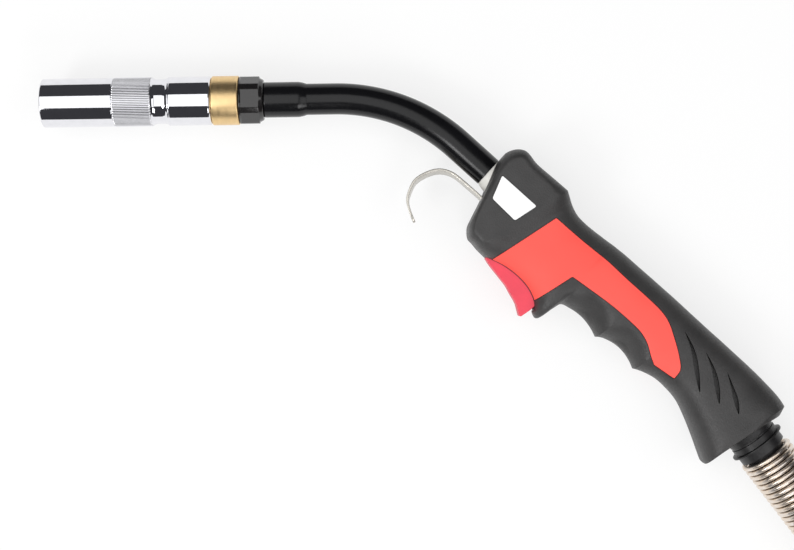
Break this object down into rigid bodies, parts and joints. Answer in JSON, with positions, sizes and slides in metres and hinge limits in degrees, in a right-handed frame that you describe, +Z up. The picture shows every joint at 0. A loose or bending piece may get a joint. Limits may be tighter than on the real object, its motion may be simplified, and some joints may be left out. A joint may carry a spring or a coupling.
{
  "type": "mig welding torch",
  "caption": "Hand torch for gas-shielded wire welding: curved neck with chromed nozzle, two-part handle with trigger, spring-guarded cable coiled to its feeder connector.",
  "frame": {"origin": "on the flat of the right handle half where the torch rests on a bench", "axes": "+X from the nozzle towards the cable, +Y towards the back of the hand at the nozzle, +Z up from the bench through the left handle half"},
  "size_m": [0.746, 0.4076, 0.046],
  "materials": {
    "chrome": "polished",
    "steel": "brushed",
    "nickel": "bright drawn",
    "brass": "turned",
    "copper": "turned",
    "neck_black": "gloss",
    "insulator_black": "satin",
    "collar_black": "satin",
    "handle_black": "fine grain",
    "red_inlay": "soft matt",
    "red_trigger": "satin",
    "white_plate": "satin",
    "white_nylon": "satin",
    "black_plastic": "satin",
    "cable_rubber": "matt",
    "boot_rubber": "matt",
    "tie_black": "woven",
    "plug_grey": "fine grain",
    "seal_rubber": "satin",
    "ceramic": "matt"
  },
  "bodies": {
    "torch_body": {"neck_conductor_tube": "copper", "neck_insulation": "neck_black", "wire_liner": "steel", "neck_entry_bush": "white_nylon", "neck_clamp_block": "brass", "clamp_screw_1": "steel", "clamp_screw_2": "steel", "cable_coupling": "brass", "nozzle_seat_ring": "brass", "hex_insulator": "insulator_black", "neck_end_sleeve": "neck_black", "contact_tip": "copper", "tip_holder": "brass", "gas_diffuser": "ceramic", "cable_collar": "collar_black", "spring_guard": "nickel", "cable_head": "cable_rubber", "hanging_hook": "steel", "trigger_pivot_pin": "steel", "trigger_spring": "steel", "switch_body": "black_plastic", "switch_lead": "black_plastic", "handle_shell_left": "handle_black", "handle_shell_right": "handle_black", "grip_inlay_left": "red_inlay", "grip_inlay_right": "red_inlay", "label_plate": "white_plate", "handle_screw_1": "steel", "handle_screw_2": "steel", "handle_screw_3": "steel", "handle_screw_4": "steel", "cable_lead": "cable_rubber", "cable_coil": "cable_rubber", "cable_tail": "cable_rubber", "coil_tie_1": "tie_black", "coil_tie_2": "tie_black", "plug_cable_boot": "boot_rubber", "plug_housing_upper": "plug_grey", "plug_housing_lower": "plug_grey", "plug_screw_1": "steel", "plug_screw_2": "steel", "plug_body": "brass", "plug_insulator": "black_plastic", "gas_tube": "brass", "gas_tube_o_ring": "seal_rubber"},
    "nozzle": {"gas_nozzle": "chrome"},
    "trigger_lever": {"trigger": "red_trigger"},
    "plunger": {"switch_plunger": "white_nylon"},
    "union_nut": {"plug_nut": "nickel"},
    "pin_1": {"contact_pin_1": "brass"},
    "pin_2": {"contact_pin_2": "brass"}
  },
  "joints": [
    {"name": "trigger_pull", "type": "hinge", "parent": "torch_body", "child": "trigger_lever", "pos_m": [-0.00955, -0.02581, 0.022], "axis": [0, 0, 1], "range_deg": [0, 8], "stiffness_Nm_per_rad": 0.3, "springref_deg": -8.59},
    {"name": "switch_press", "type": "slide", "parent": "torch_body", "child": "plunger", "axis": [0.7071, 0.7071, 0], "range_m": [0, 0.0018]},
    {"name": "nozzle_draw", "type": "slide", "parent": "torch_body", "child": "nozzle", "axis": [-0.9999, -0.0157, 0], "range_m": [0, 0.095]},
    {"name": "nut_turn", "type": "hinge", "parent": "torch_body", "child": "union_nut", "pos_m": [0.2244, 0.01, 0.023], "axis": [-1, 0, 0], "continuous": true},
    {"name": "pin_1_press", "type": "slide", "parent": "torch_body", "child": "pin_1", "axis": [1, 0, 0], "range_m": [0, 0.003], "stiffness_N_per_m": 300, "springref_m": -0.002},
    {"name": "pin_2_press", "type": "slide", "parent": "torch_body", "child": "pin_2", "axis": [1, 0, 0], "range_m": [0, 0.003], "stiffness_N_per_m": 300, "springref_m": -0.002}
  ],
  "couplings": [
    {"joint": "switch_press", "follows": "trigger_pull", "m_per_rad": 0.0125}
  ]
}
